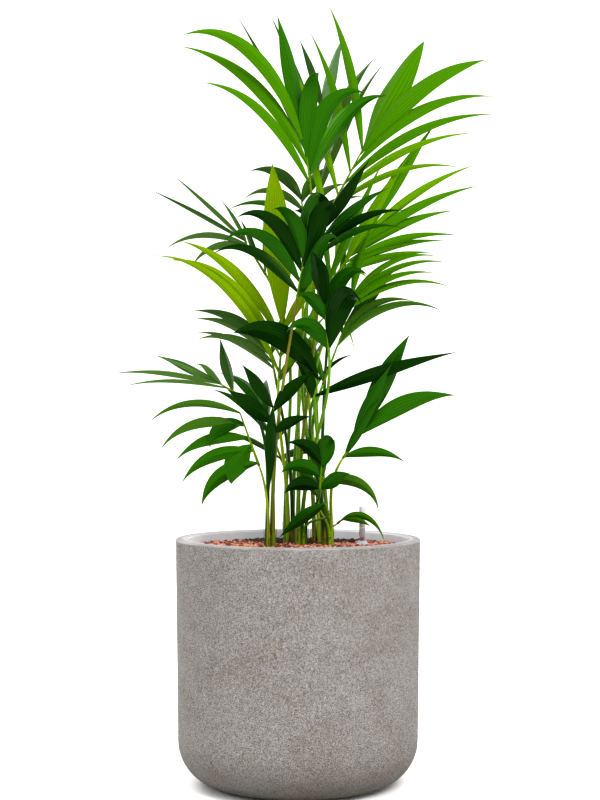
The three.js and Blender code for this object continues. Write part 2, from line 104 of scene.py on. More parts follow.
def bent_tube(shape, sides, rows, place, finish_of=None):
    """A grid wrapped round into a tube with closed ends. place(angle, row) gives its corners."""
    turn = 2 * math.pi / sides
    wrapped = lambda column, row: place(turn * (column % sides), row)
    faces = bent_grid(shape, sides, rows, wrapped, finish_of, merge=1e-7)
    rims = list(dict.fromkeys(edge for face in faces for edge in face.edges if edge.is_boundary))
    caps = bmesh.ops.holes_fill(shape, edges=rims, sides=sides)["faces"]
    bmesh.ops.recalc_face_normals(shape, faces=faces + caps)


def new_shape():
    shape = bmesh.new()
    shape.loops.layers.uv.new("UVMap")
    return shape


def mesh_of(name, shape):
    mesh = bpy.data.meshes.new(name)
    shape.to_mesh(mesh)
    shape.free()
    return mesh


def new_object(name, data):
    made = bpy.data.objects.new(name, data)
    bpy.context.scene.collection.objects.link(made)
    return made


def keep_piece(name, shape, finishes, slot, *nodes):
    """Turns the bmesh into a finished piece that rides on the plant and stands for its solids."""
    piece = new_object(name, mesh_of(name, shape))
    for finish in finishes:
        piece.data.materials.append(finish)
    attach(piece, "root")
    if nodes:
        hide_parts(*nodes)


def mix(a, b, t):
    return a + (b - a) * t


def chance(seed, n):
    """A repeatable number from -1 to 1 for the n-th choice made with a seed."""
    wave = math.sin(seed * 12.9898 + n * 78.233) * 43758.5453
    return 2 * (wave - math.floor(wave)) - 1


# %% [markdown]
# ## Helpers for finishes
#
# A finish is a small network of nodes. Written as Python sums it reads like a recipe: `Wire` holds
# one socket of the network, and adding or multiplying wires adds the Math nodes. Everything else,
# such as a noise or a mix of colours, comes from its method `node`. A colour is written as #rrggbb.

# %% Wires and finishes
class Wire:
    """One socket in a finish, with the sums that the finishes below use."""

    def __init__(self, tree, socket=None):
        self.tree, self.socket = tree, socket

    def node(self, kind, sockets=None, output=0, **settings):
        made = self.tree.nodes.new(kind)
        for name, value in settings.items():
            setattr(made, name, value)
        for name, value in (sockets or {}).items():
            if isinstance(value, Wire):
                self.tree.links.new(value.socket, made.inputs[name])
            else:
                fill(made.inputs[name], value)
        return Wire(self.tree, made.outputs[output])

    def place(self):
        """Where the shaded point lies in the piece's own coordinates."""
        return self.node("ShaderNodeTexCoord", output="Object")

    def sum(self, operation, *values):
        return self.node("ShaderNodeMath", dict(enumerate(values)), operation=operation)

    def __add__(self, other):
        return self.sum("ADD", self, other)

    def __sub__(self, other):
        return self.sum("SUBTRACT", self, other)

    def __rsub__(self, other):
        return self.sum("SUBTRACT", other, self)

    def __mul__(self, other):
        return self.sum("MULTIPLY", self, other)

    __radd__ = __add__


def tone(code):
    """A colour written as #rrggbb, as the linear numbers that a shader reads."""
    parts = [int(code[i : i + 2], 16) / 255 for i in (1, 3, 5)]
    return tuple(((p + 0.055) / 1.055) ** 2.4 if p > 0.04 else p / 12.92 for p in parts) + (1.0,)


def fill(socket, value):
    """Puts a plain value on a socket: a number, a vector or the code of a colour."""
    socket.default_value = tone(value) if isinstance(value, str) else value


def new_finish(name, colour, roughness, **rest):
    """A finish with plain values on its shader, and the wire that its pattern starts from."""
    finish = bpy.data.materials.new(name)
    finish.use_nodes = True
    shader = finish.node_tree.nodes["Principled BSDF"]
    values = {"Base Color": colour, "Roughness": roughness, **rest}
    for socket, value in values.items():
        fill(shader.inputs[socket], value)
    return finish, shader, Wire(finish.node_tree)


def noise_of(place, scale, detail=2.0, distortion=0.0):
    sockets = {"Vector": place, "Scale": scale, "Detail": detail, "Distortion": distortion}
    return place.node("ShaderNodeTexNoise", sockets)


def eased(wire, low, high):
    """0 under low, 1 over high and a soft step between."""
    sockets = {"Value": wire, "From Min": low, "From Max": high}
    return wire.node("ShaderNodeMapRange", sockets, interpolation_type="SMOOTHSTEP")


def blended(share, first, second):
    """Two colours, or wires of colour, mixed by a share from 0 to 1."""
    sockets = {"Factor": share, 6: first, 7: second}
    return share.node("ShaderNodeMix", sockets, output=2, data_type="RGBA")


def feed(shader, socket, wire):
    wire.tree.links.new(wire.socket, shader.inputs[socket])


def relief(shader, height, distance, strength=1.0):
    sockets = {"Height": height, "Distance": distance, "Strength": strength}
    feed(shader, "Normal", height.node("ShaderNodeBump", sockets))


# %% [markdown]
# ## Camera
#
# The camera stands three metres in front of the planter, level, at about half the height of the
# plant. A level camera keeps the planter's sides upright. The lens is long, so the rim shows as a
# very flat oval. A vertical sensor makes the numbers simple: the lens over the sensor's height is
# the focal length as a share of the picture's height.

# %% Set up the camera
FOCAL_SHARE = 1690 / 800
CAMERA_AT = (0.0035, -2.978, 0.673)

view = bpy.data.cameras.new("camera")
view.sensor_fit = "VERTICAL"
view.sensor_height = 24
view.lens = FOCAL_SHARE * view.sensor_height
view.clip_end = 60
camera = new_object("camera", view)
camera.location = CAMERA_AT
camera.rotation_euler = (math.pi / 2, 0, 0)
bpy.context.scene.camera = camera
print(f"camera with a {view.lens:.0f} mm lens, {-CAMERA_AT[1]:.2f} m in front")

# %% [markdown]
# ## Floor and light
#
# Plants are sold on white, so the floor and the sky are white as well. A white sky alone gives flat
# light from all sides. One wide lamp above and in front on the right adds the gloss on the leaves and
# the soft fall of light across the planter, and a smaller one behind on the left lifts the edges.

# %% Make the floor, the sky and two lamps
LAMPS_AIM_AT = Vector((0, 0, 0.75))


def new_lamp(name, place, size, watts):
    lamp = bpy.data.lights.new(name, "AREA")
    lamp.shape, lamp.size, lamp.energy = "DISK", size, watts
    holder = new_object(name, lamp)
    holder.location = place
    holder.rotation_euler = (LAMPS_AIM_AT - Vector(place)).to_track_quat("-Z", "Y").to_euler()


new_lamp("window", (1.5, -2.7, 3.0), 1.8, 80)
new_lamp("edge", (-2.0, 1.8, 2.6), 1.6, 40)

sky = bpy.data.worlds.new("sky")
sky.use_nodes = True
glow = sky.node_tree.nodes["Background"].inputs
fill(glow["Color"], (1, 1, 1, 1))
fill(glow["Strength"], 1.04)
bpy.context.scene.world = sky
bpy.context.scene.view_settings.view_transform = "Standard"
bpy.context.scene.view_settings.look = "High Contrast"

floor_shape = bmesh.new()
bmesh.ops.create_grid(floor_shape, x_segments=1, y_segments=1, size=30)
floor = new_object("floor", mesh_of("floor", floor_shape))
floor.data.materials.append(new_finish("floor_white", (0.97, 0.97, 0.97, 1), 0.9)[0])
floor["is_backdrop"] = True

# %% [markdown]
# ## Planter
#
# The planter is cast from fibre and stone: straight walls, a soft bottom edge and a skin with a fine
# leathery relief. Its profile is spun through a quarter turn, the quarter is copied round three times
# and the seams are merged, so the wall, the lip and the inside are one closed shape. The coarse part
# of the relief is real: each corner of the outer skin is moved a little, in and out, by a noise that
# never repeats. The finest grain is left to the finish.

# %% Spin the planter
rim_low, rim_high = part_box("planter")
RADIUS, HEIGHT = rim_high.x, rim_high.z
FOOT, WALL, FLOOR, EDGE, LIP = 0.211, 0.020, 0.030, 0.078, 0.003
ARC_STEPS, WALL_STEPS, LIP_STEPS, QUARTER_STEPS = 40, 118, 4, 115
RELIEF = 0.00035
LUMPS = {120: 1, 210: 0.6}


def arc(x, z, radius, start, end, steps):
    """Points of an arc in the planter's profile, from one angle to another in degrees."""
    angles = (math.radians(mix(start, end, i / steps)) for i in range(steps + 1))
    return [Vector((x + radius * math.cos(a), 0, z + radius * math.sin(a))) for a in angles]


inside = RADIUS - WALL
outer = arc(FOOT - EDGE, EDGE, EDGE, -90, 0, ARC_STEPS)
for i in range(1, WALL_STEPS):
    t = i / WALL_STEPS
    outer.append(Vector((mix(FOOT, RADIUS, t), 0, mix(EDGE, HEIGHT - LIP, t))))
lip = arc(RADIUS - LIP, HEIGHT - LIP, LIP, 0, 90, LIP_STEPS)
lip += arc(inside + LIP, HEIGHT - LIP, LIP, 90, 180, LIP_STEPS)
inner = [Vector((inside, 0, z)) for z in (0.41, 0.38, 0.30, 0.20, 0.10)]
inner += arc(inside - EDGE / 2, FLOOR + EDGE / 2, EDGE / 2, 0, -90, 5)
profile = [Vector((0, 0, 0)), *outer, *lip, *inner, Vector((0, 0, FLOOR))]

shape = new_shape()
points = [shape.verts.new(point) for point in profile]
lines = [shape.edges.new(pair) for pair in zip(points, points[1:])]
centre, up, right_angle = (0, 0, 0), (0, 0, 1), math.pi / 2
bmesh.ops.spin(
    shape, geom=points + lines, cent=centre, axis=up, angle=right_angle, steps=QUARTER_STEPS
)
quarter = shape.verts[:] + shape.edges[:] + shape.faces[:]
for k in (1, 2, 3):
    copied = bmesh.ops.duplicate(shape, geom=quarter)["geom"]
    corners = [part for part in copied if isinstance(part, bmesh.types.BMVert)]
    turned = Matrix.Rotation(k * right_angle, 3, "Z")
    bmesh.ops.rotate(shape, verts=corners, cent=centre, matrix=turned)
bmesh.ops.remove_doubles(shape, verts=shape.verts[:], dist=1e-6)
bmesh.ops.recalc_face_normals(shape, faces=shape.faces[:])


def on_skin(point):
    """Whether a point is on the planter's outer skin, from the edge of its underside up to the lip."""
    spread = math.hypot(point.x, point.y)
    from_arc = math.hypot(spread - (FOOT - EDGE), point.z - EDGE)
    round_foot = point.z < EDGE and spread > FOOT - EDGE and from_arc > EDGE - 2 * MM
    return point.z < HEIGHT - LIP and (spread > inside + MM or round_foot)


SKIN, SMOOTH, INSIDE = range(3)
for face in shape.faces:
    middle = face.calc_center_median()
    within = math.hypot(middle.x, middle.y) < inside + MM and middle.z > FLOOR / 2
    face.smooth = True
    face.material_index = SKIN if on_skin(middle) else INSIDE if within else SMOOTH
for corner in shape.verts:
    if on_skin(corner.co):
        lump = sum(share * noise.noise(corner.co * scale) for scale, share in LUMPS.items())
        outward = Vector((corner.co.x, corner.co.y, 0)).normalized()
        corner.co -= outward * RELIEF * (1 + lump)
print(f"planter {2 * RADIUS:.2f} m across, {HEIGHT:.2f} m high, {len(shape.faces)} faces")

# %% [markdown]
# ### The planter's finishes
#
# The skin is grey with faint brownish smears, and its grain is a net of short worm-like ridges. A noise has
# a soft middle value that runs through it like contour lines on a map, so the distance from that value
# draws exactly such a net. The ridges are painted paler as a highlight, as if they catch light, and the
# pits are painted darker as shade, browner where the smears run. The soft bottom edge is darkened with
# painted shade. The inside is smooth and lighter, and the smooth lip goes from its tone to that of the
# skin.

# %% Finish the planter
skin, shader, start = new_finish("planter_skin", "#a8a199", 0.85)
place = start.place()
net = noise_of(place, 640, 1.2, 0.5)
ridges = eased(start.sum("ABSOLUTE", net - 0.5), 0.01, 0.09)
grain = noise_of(place, 260, 1.0)
smeared = place.node("ShaderNodeMapping", {"Vector": place, "Scale": (1, 1, 1.7)})
clouds = noise_of(smeared, 15, 4.0, 0.3)
broad = noise_of(smeared, 5, 2.0)
wash = eased(clouds * 0.6 + broad * 0.4, 0.40, 0.66)
height = place.node("ShaderNodeSeparateXYZ", {"Vector": place}, output="Z")
# Painted shade: the colour darkens towards the soft bottom edge, where shade falls near the floor.
low = 1 - eased(height, 0.0, 0.11)
# Painted light: the ridges of the net get a pale tone as a painted highlight and the pits a dark tone as
# painted shade, both browner where the smears run.
ridge_highlight_tone = blended(wash, "#a3a09d", "#9c9791")
pit_shade_tone = blended(wash, "#38322d", "#2d2618")
colour = blended(ridges * 0.8 + grain * 0.2, pit_shade_tone, ridge_highlight_tone)
feed(shader, "Base Color", blended(low * 0.54, colour, "#4d4637"))
feed(shader, "Roughness", 0.95 - ridges * 0.12)
relief(shader, ridges + grain * 0.35, 0.0009, 0.8)

smooth, shader, start = new_finish("planter_lip", "#cfccca", 0.6)
place = start.place()
smudges = noise_of(place, 22, 3.0)
flat = place.node("ShaderNodeVectorMath", {0: place, 1: (1, 1, 0)}, operation="MULTIPLY")
from_axis = place.node("ShaderNodeVectorMath", {0: flat}, output="Value", operation="LENGTH")
outer_half = eased(from_axis, inside + 4 * MM, inside + 13 * MM)
worn = blended(eased(smudges, 0.35, 0.7), "#8c8986", "#7f7b76")
feed(shader, "Base Color", blended(outer_half, "#a3a2a4", worn))
feed(shader, "Roughness", 0.5 + smudges * 0.2)
relief(shader, noise_of(place, 160, 2.0), 0.0003, 0.5)

liner, shader, start = new_finish("planter_inside", "#b6b5bb", 0.55)
place = start.place()
cloudy = noise_of(place, 14, 3.0)
feed(shader, "Base Color", blended(eased(cloudy, 0.35, 0.7), "#dcdbe1", "#cdccd3"))
feed(shader, "Roughness", 0.45 + cloudy * 0.2)
relief(shader, noise_of(place, 90, 2.0), 0.0003, 0.5)

keep_piece("planter_shell", shape, [skin, smooth, liner], "planter", "planter")
print("planter skin, lip and inside finished")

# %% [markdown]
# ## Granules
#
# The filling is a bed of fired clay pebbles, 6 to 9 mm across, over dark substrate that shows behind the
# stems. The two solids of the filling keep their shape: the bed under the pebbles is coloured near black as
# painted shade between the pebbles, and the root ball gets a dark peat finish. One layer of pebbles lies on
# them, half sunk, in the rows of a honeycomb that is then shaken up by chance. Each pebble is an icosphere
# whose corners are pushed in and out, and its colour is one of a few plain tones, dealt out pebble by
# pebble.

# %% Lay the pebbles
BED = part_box("clay_granules")[1].z
APART, ROW, SHAKE, CLEARANCE = 7.6, 0.87, 2.4, 1.5
PEBBLE = {"radius": 3.7, "varies": 0.5, "lift": 1.3, "tossed": 1.5, "lumps": 0.16, "lump_scale": 260}
DARK_PATCH = dict(x=8, y=142, across=128, deep=62)
LIGHT_TONES = {"pink": "#b47864", "red": "#8f523d", "brown": "#623a2f", "pale": "#c08f7c"}
DARK_TONES = {"black": "#2a1e19", "brown": "#43322a"}
taken = [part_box(name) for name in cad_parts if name.startswith("stem_") or name == "gauge_foot"]


def is_taken(x, y):
    """Whether a stem or the gauge's foot stands there."""
    for low_corner, high_corner in taken:
        centre = (low_corner + high_corner) / 2
        reach = (high_corner.x - low_corner.x) / 2
        if math.hypot(x - centre.x, y - centre.y) < reach + CLEARANCE * MM:
            return True
    return False


def lay_pebble(row_shape, n, x, y, size):
    """One lumpy pebble, pushed into the bed by chance, in one of the tones."""
    lift = (PEBBLE["lift"] + PEBBLE["tossed"] * chance(4, n)) * MM
    turn = Quaternion((chance(5, n), chance(6, n), chance(7, n)), 3 * chance(8, n))
    ball = bmesh.ops.create_icosphere(row_shape, subdivisions=2, radius=size)["verts"]
    squash = Vector((1, 0.92 + 0.08 * chance(9, n), 0.88 + 0.1 * chance(10, n)))
    for corner in ball:
        lump = noise.noise(corner.co * PEBBLE["lump_scale"] + Vector((n, 0, 0)))
        lumpy = 1 + PEBBLE["lumps"] * lump
        corner.co = turn @ (corner.co * squash * lumpy) + Vector((x * MM, y * MM, BED + lift))
    across = (x - DARK_PATCH["x"]) / DARK_PATCH["across"]
    deep = (y - DARK_PATCH["y"]) / DARK_PATCH["deep"]
    is_dark = math.hypot(across, deep) + 0.16 * chance(11, n) < 1
    pick = 1 + chance(12, n)
    shade = len(LIGHT_TONES) + int(pick) if is_dark else int(pick * 1.999)
    for face in dict.fromkeys(face for corner in ball for face in corner.link_faces):
        face.material_index = shade
        face.smooth = True


# Each row is made by itself and then joined on, because adding to one huge shape grows slow.
rows = int(inside / MM / (APART * ROW)) + 1
shape, laid = new_shape(), 0
for row in range(-rows, rows + 1):
    row_shape = new_shape()
    for column in range(-rows - 3, rows + 4):
        n = row * 97 + column
        x = (column + 0.5 * (row % 2)) * APART + SHAKE * chance(1, n)
        y = row * APART * ROW + SHAKE * chance(2, n)
        size = (PEBBLE["radius"] + PEBBLE["varies"] * chance(3, n)) * MM
        if math.hypot(x, y) * MM < inside - size - 0.5 * MM and not is_taken(x * MM, y * MM):
            lay_pebble(row_shape, n, x, y, size)
            laid += 1
    row_mesh = mesh_of("pebble_row", row_shape)
    shape.from_mesh(row_mesh)
    bpy.data.meshes.remove(row_mesh)
print(f"{laid} pebbles, {len(shape.faces)} faces")

# %% Finish the pebbles and the painted shade between them
def clay(name, code):
    finish, shader, start = new_finish(name, code, 0.9)
    place = start.place()
    feed(shader, "Roughness", 0.8 + noise_of(place, 500, 2.0) * 0.2)
    relief(shader, noise_of(place, 900, 2.0), 0.0004, 0.7)
    return finish


pebble_finishes = [clay(f"clay_{name}", code) for name, code in LIGHT_TONES.items()]
pebble_finishes += [clay(f"peat_{name}", code) for name, code in DARK_TONES.items()]
keep_piece("pebbles", shape, pebble_finishes, "granules")

# Painted shade: the bed under the pebbles is coloured near black, as the shade between them.
gap_shade, shader, start = new_finish("pebble_gap_shade", "#4a2e27", 0.95)
place = start.place()
specks = noise_of(place, 300, 3.0)
feed(shader, "Base Color", blended(eased(specks, 0.4, 0.6), "#1a0f0c", "#341e18"))
peat, shader, start = new_finish("peat", "#2a1f1a", 0.95)
place = start.place()
crumbs = noise_of(place, 260, 4.0)
feed(shader, "Base Color", blended(eased(crumbs, 0.4, 0.6), "#1d1511", "#3b2c24"))
relief(shader, crumbs, 0.001)
for node, finish in {"clay_granules": gap_shade, "root_ball": peat}.items():
    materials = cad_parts[node].data.materials
    materials.clear()
    materials.append(finish)
print("granules finished")

# %% [markdown]
# ## Water level gauge
#
# A milky tube stands in a small milky cone. A red float sits just above the cone inside the tube,
# under a thin white rod, and a yellow ring marks the highest level. All of them are walls of
# revolution, spun from half their outline. The tube lets light through by its alpha, most of all in
# the window round the float, because alpha reads the same in every viewer and clear glass does not.

# %% Spin the gauge
tube_low, tube_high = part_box("gauge_tube")
axis = (tube_low + tube_high) / 2
CLEAR, MILKY, RED, WHITE, YELLOW = range(5)
TUBE, BORE, ROUNDED, CAP = 5.4, 4.6, 0.4, 1.2
WINDOW_LOW, WINDOW_HIGH, WINDOW_EDGE = 8, 19, 2


def spun(shape, outline, slot, closed=False):
    """Spins (radius, height) pairs in mm round the gauge's axis. Heights are above the granules."""
    places = [(axis.x + radius * MM, axis.y, tube_low.z + z * MM) for radius, z in outline]
    ring = [shape.verts.new(place) for place in places]
    lines = [shape.edges.new(pair) for pair in zip(ring, ring[1:] + ring[:1] * closed)]
    before = set(shape.faces)
    bmesh.ops.spin(
        shape, geom=ring + lines, cent=axis, axis=(0, 0, 1), angle=2 * math.pi, steps=36, use_merge=True
    )
    for face in [face for face in shape.faces if face not in before]:
        face.material_index = slot
        face.smooth = True
    bmesh.ops.remove_doubles(shape, verts=shape.verts[:], dist=1e-6)
    bmesh.ops.recalc_face_normals(shape, faces=shape.faces[:])


tall = (tube_high.z - tube_low.z) / MM
shape = new_shape()
tube = [(0, tall), (TUBE - ROUNDED, tall), (TUBE, tall - ROUNDED), (TUBE, 0)]
tube += [(BORE, 0), (BORE, tall - CAP), (0, tall - CAP)]
spun(shape, tube, CLEAR)
cone = [(5.7, 0), (15.9, 0), (15.9, 1.5), (14.6, 2.6), (9.4, 5.2), (7.5, 9.4), (7.0, 10), (5.7, 10)]
spun(shape, cone, MILKY, closed=True)
spun(shape, [(0, 10.6), (3.5, 10.6), (3.8, 11.1), (3.8, 15.7), (3.5, 16.2), (0, 16.2)], RED)
spun(shape, [(0, 16.4), (0.9, 16.4), (0.9, 36), (0, 36)], WHITE)
spun(shape, [(5.42, 31.6), (5.6, 31.8), (5.6, 34.0), (5.42, 34.2)], YELLOW, closed=True)

clear, shader, start = new_finish("gauge_clear", "#babbc1", 0.25)
place = start.place()
height = place.node("ShaderNodeSeparateXYZ", {"Vector": place}, output="Z")
window_low, window_high = tube_low.z + WINDOW_LOW * MM, tube_low.z + WINDOW_HIGH * MM
window = eased(height, window_low, window_low + WINDOW_EDGE * MM)
window = window * (1 - eased(height, window_high - WINDOW_EDGE * MM, window_high))
feed(shader, "Alpha", 0.95 - window * 0.8)
feed(shader, "Roughness", 0.18 + noise_of(place, 120, 2.0) * 0.14)
finishes = [clear]
for name, code, roughness in (
    ("gauge_milky", "#a4a8b4", 0.35), ("float_red", "#9c2416", 0.4),
    ("rod_white", "#e9e9ec", 0.45), ("mark_yellow", "#cdc596", 0.45),
):
    finishes.append(new_finish(name, code, roughness)[0])
keep_piece("gauge_and_float", shape, finishes, "gauge", "gauge_tube", "gauge_foot")
print(f"gauge {tall:.0f} mm tall")

# %% [markdown]
# ## The rule that the palms grow by
#
# The solids were grown by a small rule: each frond has a rib, each side of the rib a number of
# leaflets, and each leaflet a length, a width and an angle, with a little chance. The same rule,
# with the same numbers, is written again here, so that the finer leaves lie exactly where the solid
# ones do. All of it is in millimetres.

# %% The palms and their fronds
PALMS = {
    "left": dict(foot=(-49, 8), height=20, lean=(0, -1), turn=60),
    "back_left": dict(foot=(-14, 112), height=24, lean=(-2, 1), turn=36),
    "middle": dict(foot=(6, 42), height=19, lean=(0, -2), turn=12),
    "back_right": dict(foot=(34, 106), height=23, lean=(1, 1), turn=0),
    "right": dict(foot=(50, 38), height=17, lean=(2, -1), turn=12),
}
ROOTS_TOP, GAP = 412, 0.3
STEM = {"flare": 0.16, "fade": 6, "edge": 0.4}
STALK = {"foot": 4.2, "tip": 2.6, "rise": 0.42, "level": 0.3, "spacing": 8.9}
RIB_TIP = 1.2
LEAFLET = {"bends": 24, "root": 3.4}
VARIES = {"splay": 3, "rise": 5, "twist": 16, "length": 0.07, "width": 0.08, "sag": 0.25}
BOWS = (0, 8, -8, 16, -16, 26, -26, 38, -38, 52, -52)
LIFTS = (0, 7, -7, 14, -14, 22, -22, 32, -32, 44, -44)
SEEDLING_FOOT = (52, 134)
NARROW, BROAD = 17, 30
FRONDS = {}


def add_frond(name, palm, fork, end, spread, seed, tones, stalk="fresh", slim=1, narrow=NARROW, **leaflets):
    """Takes down a frond: its palm, its rib's two ends, its compass angle and seed, and its tones."""
    own = dict(name=name, palm=palm, fork=Vector(fork), end=Vector(end), spread=spread, seed=seed)
    FRONDS[name] = dict(**own, tones=tones.split(), stalk=stalk, slim=slim, narrow=narrow, **leaflets)


def leaves(count, splay, length, width, sag, late=1.4, low=0.05, high=1):
    """Leaflets of one side, from low to high up the rib. A pair of sizes runs from fork to tip."""
    return dict(count=count, sizes=(splay, length, width, sag), late=late, low=low, high=high)


def tip_leaflet(angle, length, width, sag, late=1.4):
    return dict(n=0, place=1, angle=angle, length=length, width=width, sag=sag, late=late)


# The three tones are those of a frond's broad leaflets, of its narrow ones and of the odd one out. Among
# them, dark is painted shade, given to inner and low fronds, and lime and bright partly carry painted light
# shining through the leaf.
# A frond that is told to be slim has narrower leaflets than its solid, which has to hold together.
add_frond(
    "front_middle", "left", (-2, -85, 844), (9, -100, 909), -25, 7, "deep green dark", "olive",
    lone=tip_leaflet(-2, 135, 35, 140, late=6),
    left=leaves(4, (54, 20), (200, 140), (17, 32), (100, 140), late=2.4, low=0.2),
    right=leaves(2, (16, 10), (160, 150), (30, 33), 140, late=6),
)
add_frond(
    "left_middle", "left", (-108, 0, 684), (-138, 0, 702), 32, 15, "slate grey soft", "dark",
    lone=tip_leaflet(-11, 130, 19, 14),
    left=leaves(2, (37, 29), (205, 215), (8, 14), 22, low=0.6),
    right=leaves(2, (52, 26), (135, 74), (25, 15), (8, 130), late=5, low=0.2),
)
add_frond(
    "left_low", "left", (-68, -25, 558), (-101, -32, 650), -12, 16, "green soft deep", "bright",
    left=leaves(5, (78, 51), (134, 184), (26, 13), 70),
    right=leaves(2, (-112, -66), (86, 92), (38, 24), (45, 95), low=0.4, high=0.95),
)
add_frond(
    "left_inner", "left", (-44, -30, 610), (-43, -34, 660), 30, 17, "dark slate dark", "olive",
    lone=tip_leaflet(-172, 145, 23, 4),
    left=leaves(2, (56, 38), (124, 110), (28, 22), 8, low=0.45),
    right=leaves(2, (50, 30), (80, 100), (20, 22), 40),
)
add_frond(
    "back_upper", "back_left", (12, 128, 999), (6, 142, 1043), 0, 6, "slate grey soft",
    left=leaves(3, (45, 22), (150, 130), (12, 20), 95),
    right=leaves(3, (55, 25), (130, 110), (12, 22), 60),
)
add_frond(
    "back_left_low", "back_left", (-30, 150, 560), (-60, 200, 640), 50, 24, "deep slate dark", "dark",
    both=leaves(3, (60, 14), 150, (15, 24), 60),
)
add_frond(
    "back_left_high", "back_left", (-58, 60, 898), (-97, 75, 961), -38, 5, "slate grey slate", slim=0.85,
    lone=tip_leaflet(-13, 202, 9, 4),
    left=leaves(3, (40, 27), (138, 250), (13, 9), (112, 6), low=0.75),
    right=leaves(3, (40, 10), (90, 95), (12, 10), 20),
)
add_frond(
    "bright_left", "back_left", (-34, 20, 712), (-27, 16, 801), 26, 4, "lime lime bright", "bright",
    slim=0.75,
    lone=tip_leaflet(-9, 290, 50, 8),
    left=leaves(3, (35, 38), (418, 290), (18, 28), (56, 58), low=0.1, high=0.75),
    right=leaves(3, (34, 20), (130, 160), (18, 26), 20),
)
add_frond(
    "left_high", "back_left", (-38, 45, 700), (-50, 50, 763), -30, 18, "slate grey soft", "dark",
    left=leaves(4, (41, 32), (180, 165), (12, 18), 55, low=0.45),
    right=leaves(2, (40, 25), (80, 90), (14, 16), 30),
)
add_frond(
    "foot_front", "middle", (38, -60, 518), (41, -68, 561), -20, 19, "deep soft dark", "dark",
    left=leaves(3, (70, 30), (70, 80), (26, 22), 90),
    right=leaves(2, (50, 6), (72, 80), (24, 30), (50, 140), late=4),
)
add_frond(
    "front_low", "middle", (53, -75, 756), (45, -82, 834), -10, 12, "deep green dark",
    lone=tip_leaflet(4, 150, 30, 60, late=3),
    left=leaves(2, (20, 16), (105, 75), (30, 26), 120, late=2, high=0.7),
    right=leaves(2, (16, 26), (160, 120), (40, 26), 115, late=2.4),
)
add_frond(
    "crown_left", "middle", (31, -40, 977), (12, -44, 1118), 28, 1, "green fresh fresh", "olive",
    slim=0.85, narrow=29,
    lone=tip_leaflet(-7, 225, 30, 6),
    left=leaves(3, (27, 17), (312, 358), (22, 28), (52, 82), low=0.5, high=0.95),
    right=leaves(3, (36, 4), (210, 190), (30, 34), (70, 125), late=3, low=0.6, high=0.9),
)
add_frond(
    "centre_right", "middle", (31, -50, 912), (48, -60, 975), -25, 8, "dark deep dark",
    left=leaves(3, (36, 22), (80, 85), (22, 28), 100, late=2),
    right=leaves(4, (44, 22), (200, 150), (10, 20), (62, 6), low=0.2),
)
add_frond(
    "foot_fallen", "middle", (52, -45, 479), (47, -55, 494), 0, 20, "deep dark dark",
    left=leaves(2, (125, 110), (90, 112), (18, 24), 10),
)
add_frond(
    "back_right", "back_right", (60, 130, 840), (70, 185, 920), 75, 22, "green fresh bright", "dark",
    both=leaves(4, (60, 14), (190, 180), (15, 24), 55),
)
add_frond(
    "crown_back", "back_right", (33, 110, 1029), (44, 120, 1203), -32, 3, "grey slate pale",
    left=leaves(3, (24, 16), (368, 150), (13, 14), 8, low=0.3),
    right=leaves(3, (20, 10), (300, 160), (24, 30), 28),
)
add_frond(
    "back_low", "back_right", (14, 150, 650), (10, 205, 730), 100, 23, "deep dark dark", "dark",
    both=leaves(4, (60, 14), (170, 160), (15, 24), 60),
)
add_frond(
    "right_bright", "back_right", (47, -10, 866), (112, -6, 954), 32, 9, "fresh fresh bright",
    left=leaves(3, (26, 10), (245, 240), (16, 24), 5),
    right=leaves(6, (30, 8), (195, 262), (14, 15), 34, low=0.3),
)
add_frond(
    "crown_right", "back_right", (46, 0, 987), (113, 0, 1113), -28, 2, "fresh bright fresh", "bright",
    slim=0.85,
    lone=tip_leaflet(-6, 234, 54, 8),
    left=leaves(4, (42, 36), (285, 300), (14, 20), 22),
    right=leaves(5, (38, 9), (300, 286), (11, 34), 50, low=0.2),
)
add_frond(
    "right_broad", "right", (78, -45, 572), (108, -52, 618), -15, 14, "deep deep green", "bright",
    left=leaves(3, (2, 12), (135, 190), (16, 31), 12, low=0.1),
    right=leaves(2, (38, 14), (120, 210), (16, 31), 48),
)
add_frond(
    "right_middle", "right", (53, 0, 788), (95, 0, 858), -15, 10, "green fresh deep",
    left=leaves(3, (36, 20), (150, 140), (10, 14), 40),
    right=leaves(4, (24, 12), (225, 190), 10, 64, low=0.5),
)
add_frond(
    "right_low", "right", (44, 30, 700), (79, 36, 793), 20, 11, "slate soft deep",
    lone=tip_leaflet(15, 160, 21, 5),
    left=leaves(2, (40, 30), (140, 130), (14, 16), 60),
    right=leaves(2, (18, 8), (225, 175), (12, 16), 72, low=0.75),
)
add_frond(
    "right_flat", "right", (26, -30, 672), (36, -34, 708), -10, 13, "dark deep dark", "dark",
    left=leaves(2, (20, 44), (95, 190), (18, 44), 70),
    right=leaves(1, 53, 266, 20, 14, high=0.5),
)
add_frond(
    "foot_right", "right", (36, -20, 500), (44, -24, 540), -15, 21, "soft slate deep", "bright",
    left=leaves(2, (40, 20), (80, 85), (18, 26), 30),
    right=leaves(1, 58, 142, 18, 110),
)
add_frond(
    "seedling", None, (71, 75, 450), (80, 70, 458), -40, 25, "fresh fresh green", "bright",
    left=leaves(1, -30, 78, 11, 56, late=1),
    right=leaves(1, 10, 134, 10, 92, late=1),
)
print(f"{len(PALMS)} palms, {len(FRONDS)} fronds")

# %% [markdown]
# ### Stalk curves
#
# A stalk starts straight up and ends along the rib. A Bezier curve does both with two handles. Where
# a neighbour stands in the way, the curve bows to one side by one of a few fixed steps, so the step
# that was taken is found by asking which one meets the solid stalk's middle ring.

